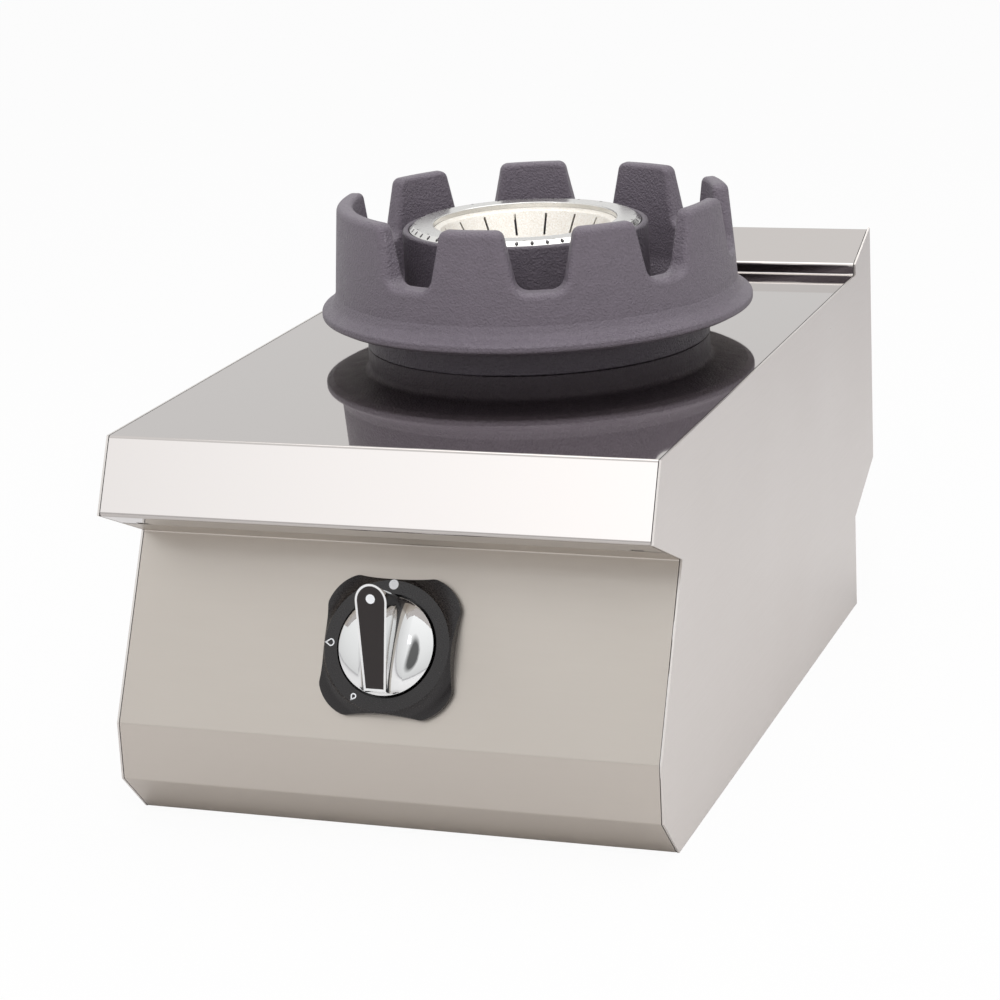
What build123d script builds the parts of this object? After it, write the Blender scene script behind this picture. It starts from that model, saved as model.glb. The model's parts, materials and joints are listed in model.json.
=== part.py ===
from build123d import *

import os
from math import cos, hypot, radians, sin, sqrt

# A countertop wok range, 400 mm wide: a folded sheet casing, one round gas burner under a
# toothed iron wok ring, and one gas tap behind the slanted control panel.
# Frame: X to the right, Y to the rear, Z up, in millimetres. The origin is the middle of the
# four foot holes, on the plane that the range stands on.

# ---- casing ----
WIDTH = 400.0
DEPTH = 650.0
DECK_Z = 279.0
SHEET = 1.5
BEND = 2.0  # mid-line radius of a fold
SIDE_GAP = 0.6  # between a side panel and the sheets that end at it

REAR_Y = DEPTH / 2
NOSE_FOOT = (-DEPTH / 2, 228.2)
NOSE_TOP = (NOSE_FOOT[0] + 24.7, DECK_Z)
PANEL_TOP = (-260.0, 198.8)
PANEL_BEND = (-323.4, 75.3)
LIP_FOOT = (-323.4, 33.5)
FRONT_FOOT = (-291.0, 0.0)
REAR_FOOT = (254.0, 0.0)
STEP_LOW = (254.0, 76.5)  # the rear is stepped in here to make room for the gas hose
STEP_HIGH = (REAR_Y, 109.0)
REAR_TOP = (REAR_Y, 307.7)
RISER_TOP = (269.3, 287.8)
RISER_FOOT = (269.3, DECK_Z)

SIDE_INNER_X = WIDTH / 2 - SHEET
SHEET_END_X = SIDE_INNER_X - SIDE_GAP
NOSE_RETURN = 37.0
SEAM = 0.4  # between the nose's return and the control panel's
REAR_FLANGE = 24.0
DECK_FLANGE = 15.0
SIDE_FLANGE = 16.0
PANEL_RETURN = 15.0
REAR_INSET = SHEET + 0.1  # the rear panel lies in front of the side panels' flanges

# ---- burner and wok ring, heights from the deck ----
BURNER_X = -2.5  # the burner and its mixing tube stand a little left of the middle
BURNER_Y = 33.2
HOLE_R = 112.0
COLLAR_DROP = 5.0

RING_AT = (5.4, 30.4)  # the loose ring stands a little off the burner's axis
CROWN_TOP = 110.0
NOTCH_FLOOR = 65.0
RING_BASE_R = 131.6
RING_BORE_R = 121.0
BRIM_R = 165.1

BODY_R = 94.0
BODY_TOP = 87.0
BODY_FOOT = -58.0
FLOOR_THICK = 8.0
CHAMBER_R = 87.0
CHAMBER_INNER_R = 72.0
DUCT_R = 67.0
SEAT_Z = 77.0
SEAT_R = 89.4

PORT_RING_R = 88.6
PORT_RING_TOP = 89.7
PORT_SLOPE = 3.4  # width and depth of the sloping edge that the larger ports are drilled in
PORT_RING_BORE_R = 70.3
PORTS_OUTER = 48
PORTS_INNER = 24
OUTER_PORTS_R = 86.8
INNER_PORTS_R = 83.8
PORTS_TURN = (-0.3, 3.4)  # of the outer and the inner circle, from the X axis
CONE_DROP = 4.0  # from the ring's top to the cone's lip
CONE_LIP_THICK = 2.0
CONE_FOOT_Z = 40.0
CONE_FOOT_R = 42.0
CONE_WALL = 2.5
CONE_SLOTS = 16
SLOT_TOP = 82.2
SLOT_FOOT = 66.5
SLOTS_TURN = 4.0
SLOT_WIDTH = 1.8

# ---- gas train ----
TUBE_Z = 250.0  # axis of the mixing tube
TUBE_FRONT_Y = -186.0
HOLDER_Y = -225.0
SUPPLY_R = 7.5
INLET_X = 120.0
INLET_Z = 45.0

# ---- knob, heights from the control panel's face ----
KNOB_DROP = 72.6  # from the panel's top edge, down its slope
KNOB_TRAVEL = 4.0
BEZEL_HALF = 50.0
BEZEL_WAIST = 46.5
COLLAR_TOP = 10.0
COLLAR_R = 45.5
COLLAR_BORE_R = 36.2
DIAL_R = 34.5
DIAL_UNDER = 8.0
DIAL_RIM = 11.5
DIAL_CROWN = 18.5
SPINDLE_R = 4.0
SPINDLE_PLAY = 0.05

FOOT_SPACING_X = 350.0
FOOT_SPACING_Y = 460.0
FOOT_HOLE_R = 5.5

DECK = Plane((BURNER_X, BURNER_Y, DECK_Z))  # the burner's axis where it meets the deck
RING = Plane((*RING_AT, DECK_Z))


def unit(vector):
    length = hypot(*vector)
    return tuple(value / length for value in vector)


def along(point, towards, distance):
    """The point at a distance from one (y, z) point towards another."""
    direction = unit((towards[0] - point[0], towards[1] - point[1]))
    return (point[0] + direction[0] * distance, point[1] + direction[1] * distance)


SLOPE = unit((PANEL_BEND[0] - PANEL_TOP[0], PANEL_BEND[1] - PANEL_TOP[1]))
KNOB_CENTRE = along(PANEL_TOP, PANEL_BEND, KNOB_DROP)
KNOB = Plane(
    origin=(0, *KNOB_CENTRE), x_dir=(1, 0, 0), z_dir=(0, SLOPE[1], -SLOPE[0])
)


def save(name, shape):
    export_step(shape, f"parts/{name}.step")


def rightwards(points, distance):
    """The same open path moved to its right by a distance, with mitred corners."""
    moved = []
    for index, (y, z) in enumerate(points):
        ends = points[max(index - 1, 0) : index + 2]
        normals = []
        for start, end in zip(ends, ends[1:]):
            d_y, d_z = unit((end[0] - start[0], end[1] - start[1]))
            normals.append((d_z, -d_y))
        n_y = sum(normal[0] for normal in normals) / len(normals)
        n_z = sum(normal[1] for normal in normals) / len(normals)
        scale = distance / (n_y**2 + n_z**2)
        moved.append((y + n_y * scale, z + n_z * scale))
    return moved


def folded(outline, x_from, x_to, plane=Plane.YZ, bend=BEND):
    """A folded sheet whose outer face follows the outline, with the metal on its right."""
    line = FilletPolyline(*rightwards(outline, SHEET / 2), radius=bend)
    strip = plane * trace(line, SHEET)
    sheet = extrude(strip, x_to - x_from, dir=plane.z_dir)
    return Pos(*(plane.z_dir * x_from)) * sheet


def block(x_from, x_to, y_from, y_to, z_from, z_to):
    box = Box(x_to - x_from, y_to - y_from, z_to - z_from)
    return Pos((x_from + x_to) / 2, (y_from + y_to) / 2, (z_from + z_to) / 2) * box


def rod(plane, radius, z_from, z_to):
    """A cylinder on a plane's axis, between two heights."""
    middle = Pos(0, 0, (z_from + z_to) / 2)
    return plane * middle * Cylinder(radius, z_to - z_from)


def turned(plane, points, rounds=None):
    """A solid turned about a plane's axis from (radius, height) points, some corners rounded."""
    profile = make_face(Polyline(*points, close=True))
    for (r, z), radius in (rounds or {}).items():
        corner = min(profile.vertices(), key=lambda v: hypot(v.X - r, v.Y - z))
        profile = fillet(corner, radius)
    return plane * revolve(Plane.XZ * profile, Axis.Z)


def pipe(points, radius, bend):
    """A pipe of straight runs and arcs."""
    path = FilletPolyline(*points, radius=bend)
    return sweep(Plane(path @ 0, z_dir=path % 0) * Circle(radius), path=path)


def hexagon(plane, across_flats, bore, z_from, z_to):
    face = RegularPolygon(across_flats / 2, 6, major_radius=False) - Circle(bore)
    return extrude(plane * Pos(0, 0, z_from) * face, z_to - z_from)


def pan_screw(plane, shank_r, length):
    """A screw whose head sits on a plane, with its shank going down from it."""
    head_r, head_height = shank_r * 1.9, shank_r * 1.3
    points = [(0, -length), (shank_r, -length), (shank_r, 0), (head_r, 0)]
    points += [(head_r, head_height), (0, head_height)]
    return turned(plane, points, {(head_r, head_height): head_height * 0.6})


def hex_bolt(plane, shank_r, length):
    """A bolt whose head hangs below a plane, with its shank going up from it."""
    head = extrude(plane * RegularPolygon(shank_r * 1.7, 6, major_radius=False), -shank_r * 1.3)
    return head + rod(plane, shank_r, 0, length)


# ---- casing ----

SCREW_R = 2.0
REAR_SCREWS = [
    Plane((x, REAR_Y, z), x_dir=(1, 0, 0), z_dir=(0, 1, 0))
    for x in (-SIDE_INNER_X + 9, SIDE_INNER_X - 9)
    for z in (130, 195, 260)
]


def seam_relief(side):
    """What is cut from one end of the nose's return: a narrow strip, and a deeper square slot."""
    seam = Plane(
        (0, *along(NOSE_FOOT, PANEL_TOP, NOSE_RETURN)),
        x_dir=(1, 0, 0),
        z_dir=(0, *unit((PANEL_TOP[1] - NOSE_FOOT[1], NOSE_FOOT[0] - PANEL_TOP[0]))),
    )
    strip = Pos(side * 192, 0, 0) * Box(16, 2 * 2.5, 12)
    slot = Pos(side * 180, 0, 0) * Box(9, 2 * 8.0, 12)
    return seam * (strip + slot)


def worktop():
    """Deck, slanted nose with its return, riser, sloping top and rear flange, of one sheet."""
    outline = [
        along(NOSE_FOOT, PANEL_TOP, NOSE_RETURN),
        NOSE_FOOT,
        NOSE_TOP,
        RISER_FOOT,
        RISER_TOP,
        REAR_TOP,
        (REAR_Y, REAR_TOP[1] - REAR_FLANGE),
    ]
    sheet = folded(outline, -SHEET_END_X, SHEET_END_X)
    flange_y = (NOSE_TOP[0] + 4, RISER_FOOT[0] - 4)
    flange_z = (DECK_Z - DECK_FLANGE, DECK_Z - SHEET / 2)
    for inner, outer in ((SHEET_END_X - SHEET, SHEET_END_X), (-SHEET_END_X, SHEET - SHEET_END_X)):
        sheet += block(inner, outer, *flange_y, *flange_z)
    sheet += rod(DECK, HOLE_R + SHEET, -COLLAR_DROP, -SHEET / 2)
    sheet -= rod(DECK, HOLE_R, -COLLAR_DROP - 1, 1)
    # Where the nose's return meets the control panel's, its ends are cut back, for the folds.
    return sheet - seam_relief(1) - seam_relief(-1)


def side_outline():
    points = [
        REAR_FOOT,
        FRONT_FOOT,
        LIP_FOOT,
        PANEL_BEND,
        PANEL_TOP,
        NOSE_FOOT,
        NOSE_TOP,
        RISER_FOOT,
        RISER_TOP,
        REAR_TOP,
        STEP_HIGH,
        STEP_LOW,
    ]
    return make_face(Polyline(*points, close=True))


def side_panel(side):
    """A flat plate with the casing's whole profile, and a flange turned in at the rear."""
    plate = extrude(Plane.YZ * side_outline(), SHEET, dir=(1, 0, 0))
    flange = block(-SIDE_FLANGE, SHEET, REAR_Y - SHEET, REAR_Y, STEP_HIGH[1] + 2, DECK_Z - 4)
    panel = Pos(SIDE_INNER_X, 0, 0) * (plate + flange)
    for plane in REAR_SCREWS:
        panel -= rod(plane, SCREW_R + 0.1, -6, 2)
    return panel if side > 0 else mirror(panel, Plane.YZ)


def control_panel():
    """Slanted face with a hole for the tap, bend, upright lip, chamfer and two returns."""
    outline = [
        (FRONT_FOOT[0] + PANEL_RETURN, 0),
        FRONT_FOOT,
        LIP_FOOT,
        PANEL_BEND,
        PANEL_TOP,
        along(NOSE_FOOT, PANEL_TOP, NOSE_RETURN + SEAM),
    ]
    sheet = folded(outline, -SHEET_END_X, SHEET_END_X)
    return sheet - rod(KNOB, TAP_NECK_R + 0.5, -10, 10)


VENT_ROWS = 5
VENT_PITCH = 14.0
VENT_LENGTH = 70.0
VENT_WIDTH = 5.0


def rear_panel():
    """Sheet that follows the rear step, with vent slots and the hole for the gas inlet."""
    outline = [
        (REAR_Y - REAR_INSET, REAR_TOP[1] - REAR_FLANGE - 2),
        (REAR_Y - REAR_INSET, STEP_HIGH[1] + 0.8),
        (STEP_LOW[0] - REAR_INSET, STEP_LOW[1] + 0.8),
        (REAR_FOOT[0] - REAR_INSET, 0),
        (REAR_FOOT[0] - REAR_INSET - PANEL_RETURN, 0),
    ]
    sheet = folded(outline, -SHEET_END_X, SHEET_END_X)
    slot = Rot(90, 0, 0) * extrude(SlotOverall(VENT_LENGTH, VENT_WIDTH), 10, both=True)
    for row in range(VENT_ROWS):
        for x in (-95, 0, 95):
            sheet -= Pos(x, REAR_Y, 190 + row * VENT_PITCH) * slot
    for plane in REAR_SCREWS:
        sheet -= rod(plane, SCREW_R + 0.1, -6, 2)
    return sheet - rod(INLET, 11.0, -10, 10)


# ---- base ----

RAIL_Y = (-274.0, 236.0)
RAIL_INNER_X = 158.0
RAIL_WEB = 30.0
RAIL_LIP = 12.0


def base_rail(side):
    """A channel along the foot of a side panel, with two foot holes."""
    outline = [
        (RAIL_INNER_X, RAIL_LIP),
        (RAIL_INNER_X, 0),
        (SIDE_INNER_X, 0),
        (SIDE_INNER_X, RAIL_WEB),
    ]
    plane = Plane((0, 0, 0), x_dir=(1, 0, 0), z_dir=(0, -1, 0))
    rail = folded(outline[::-1], -RAIL_Y[1], -RAIL_Y[0], plane=plane)
    for y in (-FOOT_SPACING_Y / 2, FOOT_SPACING_Y / 2):
        rail -= Pos(FOOT_SPACING_X / 2, y, 0) * Cylinder(FOOT_HOLE_R, 10)
    return rail if side > 0 else mirror(rail, Plane.YZ)


CROSSMEMBERS_Y = (-215.0, 190.0)
CROSSMEMBER_HALF = 15.0
CROSSMEMBER_TOP = 22.0


def crossmember(y):
    """A channel between the base rails, open below."""
    outline = [
        (y - CROSSMEMBER_HALF, SHEET),
        (y - CROSSMEMBER_HALF, CROSSMEMBER_TOP),
        (y + CROSSMEMBER_HALF, CROSSMEMBER_TOP),
        (y + CROSSMEMBER_HALF, SHEET),
    ]
    return folded(outline, -RAIL_INNER_X, RAIL_INNER_X)


# ---- burner support ----

BRACKET_Y = 75.0  # from the burner's axis
BRACKET_WIDTH = 30.0
BRACKET_DROP = 20.0
BRACKET_TOP = DECK_Z + BODY_FOOT
BOLT_X = 45.0
SHIELD_HALF = 150.0
SHIELD_Z = 168.0


def burner_bracket(y):
    """A channel from side to side, turned down at its ends, that the burner stands on."""
    outline = [
        (y - BRACKET_WIDTH / 2, BRACKET_TOP - BRACKET_DROP),
        (y - BRACKET_WIDTH / 2, BRACKET_TOP),
        (y + BRACKET_WIDTH / 2, BRACKET_TOP),
        (y + BRACKET_WIDTH / 2, BRACKET_TOP - BRACKET_DROP),
    ]
    bracket = folded(outline, -SIDE_INNER_X, SIDE_INNER_X)
    for side in (-1, 1):
        x_from, x_to = sorted((side * SIDE_INNER_X, side * (SIDE_INNER_X - SHEET)))
        foot_y = (y - BRACKET_WIDTH / 2 + SHEET, y + BRACKET_WIDTH / 2 - SHEET)
        bracket += block(x_from, x_to, *foot_y, BRACKET_TOP - 35, BRACKET_TOP - SHEET)
        bracket -= rod(Plane((BURNER_X + side * BOLT_X, y, BRACKET_TOP)), 3.0, -5, 5)
    return bracket


def heat_shield():
    """A tray-shaped plate hung under the brackets, which keeps the heat off the tap."""
    top = BRACKET_TOP - BRACKET_DROP
    outline = [
        (SHIELD_HALF + 14, top),
        (SHIELD_HALF, top),
        (SHIELD_HALF, SHIELD_Z),
        (-SHIELD_HALF, SHIELD_Z),
        (-SHIELD_HALF, top),
        (-SHIELD_HALF - 14, top),
    ]
    plane = Plane((0, 0, 0), x_dir=(1, 0, 0), z_dir=(0, -1, 0))
    reach = BRACKET_Y + BRACKET_WIDTH / 2
    return folded(outline[::-1], -BURNER_Y - reach, reach - BURNER_Y, plane=plane)


def burner_bolts():
    bolts = [
        hex_bolt(Plane((BURNER_X + x, BURNER_Y + y, BRACKET_TOP - SHEET)), 3.0, SHEET + 5)
        for x in (-BOLT_X, BOLT_X)
        for y in (-BRACKET_Y, BRACKET_Y)
    ]
    return Compound(bolts)


# ---- burner ----

BOSS_R = 21.0
BOSS_REACH = 104.0
TUBE_BORE_R = 17.0
MIXING_AXIS = Plane((BURNER_X, BURNER_Y, TUBE_Z), x_dir=(1, 0, 0), z_dir=(0, -1, 0))


def burner_body():
    """Iron casting: round gas chamber about an open duct, with a rounded lip and one inlet."""
    outer = turned(
        DECK,
        [
            (DUCT_R, BODY_FOOT),
            (BODY_R, BODY_FOOT),
            (BODY_R, BODY_TOP),
            (SEAT_R, BODY_TOP),
            (SEAT_R, SEAT_Z),
            (DUCT_R, SEAT_Z),
        ],
        {(BODY_R, BODY_FOOT): 4.0, (BODY_R, BODY_TOP): 2.4, (SEAT_R, BODY_TOP): 1.2},
    )
    chamber_floor = BODY_FOOT + FLOOR_THICK
    chamber = rod(DECK, CHAMBER_R, chamber_floor, SEAT_Z + 1)
    chamber -= rod(DECK, CHAMBER_INNER_R, chamber_floor - 1, SEAT_Z + 2)
    body = outer + (rod(MIXING_AXIS, BOSS_R, CHAMBER_R, BOSS_REACH))
    body -= chamber
    body -= rod(MIXING_AXIS, TUBE_BORE_R, CHAMBER_R - 8, BOSS_REACH + 1)
    for x in (-BOLT_X, BOLT_X):
        for y in (-BRACKET_Y, BRACKET_Y):
            body -= rod(Plane((BURNER_X + x, BURNER_Y + y, BRACKET_TOP)), 3.0, -1, 5.5)
    return body


def port_circle(count, radius, port_r, turn):
    holes = [
        Rot(0, 0, 360 / count * index + turn) * Pos(radius, 0, 0) * Cylinder(port_r, 60)
        for index in range(count)
    ]
    return DECK * Pos(0, 0, PORT_RING_TOP) * Compound(holes)


def burner_ring():
    """Aluminium cap ring on the chamber: a flat top, a sloping edge and two circles of ports."""
    ledge = PORT_RING_TOP - CONE_DROP - CONE_LIP_THICK
    ring = turned(
        DECK,
        [
            (DUCT_R, SEAT_Z),
            (PORT_RING_R, SEAT_Z),
            (PORT_RING_R, PORT_RING_TOP - PORT_SLOPE),
            (PORT_RING_R - PORT_SLOPE, PORT_RING_TOP),
            (PORT_RING_BORE_R, PORT_RING_TOP),
            (PORT_RING_BORE_R, ledge),
            (DUCT_R, ledge),
        ],
        {(PORT_RING_R - PORT_SLOPE, PORT_RING_TOP): 1.0, (PORT_RING_BORE_R, PORT_RING_TOP): 0.8},
    )
    ring -= port_circle(PORTS_OUTER, OUTER_PORTS_R, 1.35, PORTS_TURN[0])
    return ring - port_circle(PORTS_INNER, INNER_PORTS_R, 1.0, PORTS_TURN[1])


def burner_cone():
    """Spun cone that hangs by its lip on the ring's ledge, with upright slots round its wall."""
    lip_top = PORT_RING_TOP - CONE_DROP
    lip_r = PORT_RING_BORE_R - 0.3
    neck_r = DUCT_R - 0.5
    cone = turned(
        DECK,
        [
            (CONE_FOOT_R - CONE_WALL, CONE_FOOT_Z),
            (CONE_FOOT_R, CONE_FOOT_Z),
            (neck_r, lip_top - CONE_LIP_THICK - 1),
            (neck_r, lip_top - CONE_LIP_THICK),
            (lip_r, lip_top - CONE_LIP_THICK),
            (lip_r, lip_top),
            (neck_r + 1.0 - CONE_WALL, lip_top - 1.5),
        ],
        {(neck_r + 1.0 - CONE_WALL, lip_top - 1.5): 1.5},
    )
    slot = Pos((CONE_FOOT_R + neck_r) / 2, 0, 0) * Box(40, SLOT_WIDTH, SLOT_TOP - SLOT_FOOT)
    slots = [Rot(0, 0, SLOTS_TURN + 360 / CONE_SLOTS * index) * slot for index in range(CONE_SLOTS)]
    return cone - DECK * Pos(0, 0, (SLOT_TOP + SLOT_FOOT) / 2) * Compound(slots)


# ---- wok ring ----

TOOTH_ROUND = 7.0
NOTCH_ROUND = 11.0
NOTCH_LEAN = 0.22  # how far a notch's side leans outwards for each millimetre of height
NOTCH_REACH = 149.0  # from the ring's axis: the notches' widths are taken here
NOTCH_GAUGE = 97.0  # and at this height
OUTER_ROUND = 5.0
INNER_ROUND = 3.5
# The angle of each notch and half its width. The sand-cast crown isn't quite regular, and one
# notch is left out, so that one tooth is double; it shields the pilot.
NOTCHES = (
    (-109.4, 25.4),
    (-69.8, 24.4),
    (-31.3, 23.6),
    (9.5, 24.5),
    (47.8, 26.5),
    (88.4, 22.8),
    (128.6, 23.3),
    (169.3, 28.0),
)


def notch_outline(half_width, reach):
    """A notch at a distance from the ring's axis: flat floor, leaning sides, rounded corners."""
    share = reach / NOTCH_REACH
    half_top = half_width + (CROWN_TOP - NOTCH_GAUGE) * NOTCH_LEAN
    half_floor = half_width - (NOTCH_GAUGE - NOTCH_FLOOR) * NOTCH_LEAN
    flare = half_top + 12
    half = [(flare, CROWN_TOP), (half_top, CROWN_TOP), (half_floor, NOTCH_FLOOR)]
    points = half + [(-x, z) for x, z in half[::-1]]
    points += [(-flare, CROWN_TOP + 10), (flare, CROWN_TOP + 10)]
    points = [(x * share, z) for x, z in points]
    face = make_face(Polyline(*points, close=True))
    for (x, z), radius in zip(points[1:5], (TOOTH_ROUND, NOTCH_ROUND, NOTCH_ROUND, TOOTH_ROUND)):
        corner = min(face.vertices(), key=lambda v: hypot(v.X - x, v.Y - z))
        face = fillet(corner, radius * share)
    return Plane((reach, 0, 0), x_dir=(0, 1, 0), z_dir=(1, 0, 0)) * face


def on_rim(edge, inside):
    """Whether an edge lies on the inner or the outer rim of the crown."""
    middle = edge @ 0.5
    reach = hypot(middle.X - RING_AT[0], middle.Y - RING_AT[1])
    high = edge.bounding_box().min.Z > DECK_Z + NOTCH_FLOOR - 2
    return high and (reach < 139 if inside else reach > 145)


def wok_ring():
    """Iron casting: base ring, flared brim and a crown of tapered teeth."""
    casting = turned(
        RING,
        [
            (RING_BORE_R, 0),
            (RING_BASE_R, 0),
            (RING_BASE_R, 18),
            (160, 22.5),
            (BRIM_R, 25.2),
            (BRIM_R, 30),
            (157, 34.5),
            (154, 42),
            (149.1, CROWN_TOP),
            (137, CROWN_TOP),
            (133, 36),
            (RING_BORE_R, 14),
        ],
        {
            (RING_BASE_R, 0): 0.8,
            (RING_BASE_R, 18): 5.0,
            (BRIM_R, 25.2): 2.0,
            (BRIM_R, 30): 2.4,
            (157, 34.5): 7.0,
            (133, 36): 20.0,
        },
    )
    for angle, half_width in NOTCHES:
        cutter = loft(
            [notch_outline(half_width, reach) for reach in (RING_BORE_R - 5, BRIM_R + 5)],
            ruled=True,
        )
        casting -= RING * Rot(0, 0, angle) * cutter
    # The crown's two rims run up and down round every tooth, and both are well rounded.
    for inside, radius in ((False, OUTER_ROUND), (True, INNER_ROUND)):
        rim = [e for e in casting.edges() if on_rim(e, inside)]
        casting = fillet(rim, radius)
    return casting


# ---- gas train ----

INLET = Plane((INLET_X, REAR_FOOT[0] - REAR_INSET, INLET_Z), x_dir=(1, 0, 0), z_dir=(0, 1, 0))
TAP_NECK_R = 8.0
TAP_PORT_DEPTH = 30.0
PILOT_PORT_DEPTH = 48.0


def tap_point(x, depth):
    """A point x to the right of the tap's axis, at a depth behind the panel's face."""
    return tuple(KNOB.from_local_coords(Vector(x, 0, -depth)))


def tap_side(x, depth, sign):
    return Plane(tap_point(x, depth), x_dir=(0, 1, 0), z_dir=(sign, 0, 0))


def gas_tap():
    """Body of the tap: threaded neck, barrel, magnet housing and three pipe unions."""
    body = turned(
        KNOB,
        [
            (0, -62),
            (9, -62),
            (9, -50),
            (13, -50),
            (13, -46),
            (16, -46),
            (16, -8),
            (12, -SHEET),
            (TAP_NECK_R, -SHEET),
            (TAP_NECK_R, 3.6),
            (0, 3.6),
        ],
        {(16, -46): 2.0, (9, -62): 1.5},
    )
    body += rod(tap_side(0, TAP_PORT_DEPTH, 1), 9.0, 0, 30)
    body += rod(tap_side(0, TAP_PORT_DEPTH, -1), 7.5, 0, 30)
    body += rod(tap_side(0, PILOT_PORT_DEPTH, -1), 4.5, 0, 20)
    body -= rod(KNOB, SPINDLE_R + SPINDLE_PLAY, -30, 5)
    return body - rod(KNOB, PUSH_ROD_R + SPINDLE_PLAY, -57, -29)


PUSH_ROD_R = 2.5


def tap_push_rod():
    """Slides in the tap to lift the flame-failure valve; it doesn't turn."""
    return rod(KNOB, PUSH_ROD_R, -52, -24)


def tap_spindle():
    """Turns the tap's plug; a flat on its end drives the knob."""
    spindle = rod(KNOB, SPINDLE_R, -24, 26)
    flat = Pos(0, SPINDLE_R + 1, 19) * Box(20, 4, 16)
    return spindle - KNOB * flat


def tap_nut():
    return hexagon(KNOB, 22, TAP_NECK_R, 0, 3.2)


def burner_pipe():
    start = Vector(*tap_point(-30, TAP_PORT_DEPTH))
    turn = start + Vector(-30, 0, 0)
    points = [
        start,
        turn,
        (turn.X, HOLDER_Y, turn.Z + 30),
        (turn.X, HOLDER_Y, TUBE_Z),
        (BURNER_X - HOLDER_HALF, HOLDER_Y, TUBE_Z),
    ]
    return pipe(points, 5.0, 14.0)


def supply_pipe():
    end = Vector(*tap_point(30, TAP_PORT_DEPTH))
    points = [
        (INLET_X, INLET.origin.Y - 22, INLET_Z),
        (INLET_X, end.Y, INLET_Z),
        (INLET_X, end.Y, end.Z),
        end,
    ]
    return pipe(points, SUPPLY_R, 24.0)


def gas_inlet():
    """Half-inch union through the rear panel, with its hexagon outside."""
    body = hexagon(INLET, 27, 6.5, 0, 7)
    body += turned(INLET, [(6.5, 0), (10.4, 0), (10.4, 32), (9.4, 33), (6.5, 33)])
    tail = turned(INLET, [(SUPPLY_R, -22), (10.4, -22), (10.4, 0), (6.5, 0), (6.5, -8), (SUPPLY_R, -8)])
    return body + tail


def pipe_clips():
    """Rings round the supply pipe, each on a leg that stands on a crossmember."""
    clips = []
    for y in CROSSMEMBERS_Y:
        plane = Plane((INLET_X, y, INLET_Z), x_dir=(1, 0, 0), z_dir=(0, 1, 0))
        clip = rod(plane, SUPPLY_R + SHEET, -6, 6)
        clip += block(INLET_X - 1, INLET_X + 1, y - 6, y + 6, CROSSMEMBER_TOP, INLET_Z)
        clip += block(INLET_X - 1, INLET_X + 16, y - 6, y + 6, CROSSMEMBER_TOP, CROSSMEMBER_TOP + SHEET)
        clips.append(clip - rod(plane, SUPPLY_R, -7, 7))
    return Compound(clips)


def pipe_nuts():
    """Union nuts on the pipe ends at the tap, and the lock nut behind the rear panel."""
    nuts = [
        hexagon(tap_side(30, TAP_PORT_DEPTH, 1), 22, SUPPLY_R, 0, 11),
        hexagon(tap_side(-30, TAP_PORT_DEPTH, -1), 17, 5.0, 0, 10),
        hexagon(tap_side(-20, PILOT_PORT_DEPTH, -1), 11, 3.0, 0, 7),
        hexagon(INLET, 27, 10.4, -SHEET - 7, -SHEET),
    ]
    return Compound(nuts)


HOLDER_HALF = 12.0
INJECTOR_AXIS = Plane((BURNER_X, HOLDER_Y, TUBE_Z), x_dir=(1, 0, 0), z_dir=(0, 1, 0))


def injector_holder():
    """Elbow block on a strap from the mixing tube, which carries the injector."""
    holder = Pos(0, HOLDER_Y, TUBE_Z) * Box(2 * HOLDER_HALF, 20, 20)
    holder = fillet(holder.edges().filter_by(Axis.Y), 3)
    strap = [
        block(-HOLDER_HALF, HOLDER_HALF, HOLDER_Y + 4, TUBE_FRONT_Y - 6, 237, 240),
        block(-HOLDER_HALF, HOLDER_HALF, TUBE_FRONT_Y - 9, TUBE_FRONT_Y - 6, 226, 240),
        block(-HOLDER_HALF, HOLDER_HALF, TUBE_FRONT_Y - 9, TUBE_FRONT_Y, 223, 226),
    ]
    for piece in strap:
        holder += piece
    return Pos(BURNER_X, 0, 0) * holder - rod(INJECTOR_AXIS, 5.0, -2, 11)


def injector():
    """Brass jet with a hexagon, screwed into the holder."""
    jet = rod(INJECTOR_AXIS, 5.0, -2, 10) + hexagon(INJECTOR_AXIS, 13, 3.0, 10, 15)
    jet += turned(INJECTOR_AXIS, [(0, 10), (5, 10), (5, 17), (2.5, 24), (0, 24)])
    return jet - rod(INJECTOR_AXIS, 0.9, -3, 30)


def mixing_tube():
    """Venturi: bell mouth at the injector, throat, and a widening bore to the burner."""
    front = BURNER_Y - TUBE_FRONT_Y
    return turned(
        MIXING_AXIS,
        [
            (TUBE_BORE_R, BOSS_REACH),
            (25, BOSS_REACH),
            (25, BOSS_REACH + 6),
            (20, BOSS_REACH + 6),
            (14, front - 50),
            (14, front - 36),
            (24, front),
            (21, front),
            (11, front - 38),
            (11, front - 50),
        ],
        {(14, front - 36): 12.0, (11, front - 38): 10.0},
    )


def air_shutter():
    """Slotted sleeve round the bell mouth, held by a screw."""
    front = BURNER_Y - TUBE_FRONT_Y
    sleeve = turned(
        MIXING_AXIS, [(24.1, front - 8), (25.6, front - 8), (25.6, front + 4), (24.1, front + 4)]
    )
    slots = block(-40, 40, TUBE_FRONT_Y - 1, TUBE_FRONT_Y + 5, TUBE_Z - 8, TUBE_Z + 8)
    slots += block(-13, 13, TUBE_FRONT_Y - 10, TUBE_FRONT_Y + 10, 220, 240)
    return sleeve - Pos(BURNER_X, 0, 0) * slots


# ---- pilot ----

PILOT_AT = -162.0
THERMO_AT = -153.0
PILOT_R = 106.5


def round_burner(angle, height):
    """A plane on the pilot's circle, at an angle about the burner and a height in the frame."""
    x = BURNER_X + PILOT_R * cos(radians(angle))
    y = BURNER_Y + PILOT_R * sin(radians(angle))
    return Plane((x, y, height))


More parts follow.
